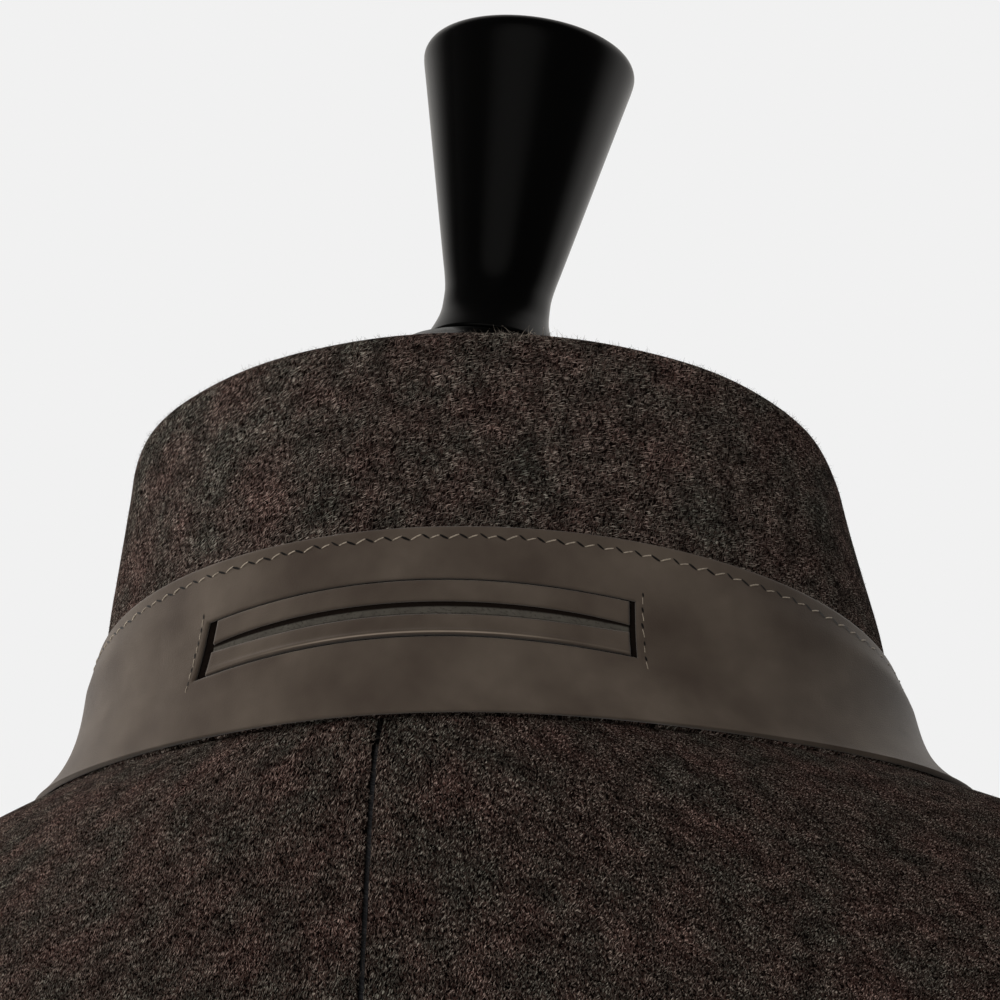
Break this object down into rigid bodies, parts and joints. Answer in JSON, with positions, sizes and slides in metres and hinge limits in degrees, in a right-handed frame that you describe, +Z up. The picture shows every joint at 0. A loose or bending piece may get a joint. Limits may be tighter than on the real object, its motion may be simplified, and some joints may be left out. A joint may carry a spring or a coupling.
{
  "type": "jersey coat on a dress form",
  "caption": "Knee-length wool jersey coat with its collar turned up over a leather stand band, on a limbless dress form with a pole and round base.",
  "frame": {"origin": "centre of the base's underside", "axes": "+Z up, the coat's front faces -Y, its left side is +X"},
  "size_m": [0.564, 0.37, 1.6016],
  "materials": {
    "jersey": "felted wool jersey, heathered brown and grey",
    "collar_jersey": "felted wool jersey, darker brown",
    "nubuck": "matt nubuck leather",
    "strip": "dark grey woven strip",
    "horn": "dark horn, half gloss",
    "form_cover": "charcoal jersey cover",
    "gloss_black": "gloss black lacquer",
    "stand_metal": "satin black powder coat"
  },
  "bodies": {
    "root": {"back_left": "jersey", "back_right": "jersey", "front_left": "jersey", "front_right": "jersey", "sleeve_left": "jersey", "sleeve_right": "jersey", "collar_under": "collar_jersey", "collar_top": "collar_jersey", "collar_band": "nubuck", "slot_welt_upper": "nubuck", "slot_welt_lower": "nubuck", "slot_strip": "strip", "button_1": "horn", "button_2": "horn", "button_3": "horn", "button_4": "horn", "form_torso": "form_cover", "form_neck_cap": "gloss_black", "form_knob": "gloss_black", "form_pole": "stand_metal", "form_base": "stand_metal"}
  },
  "joints": []
}
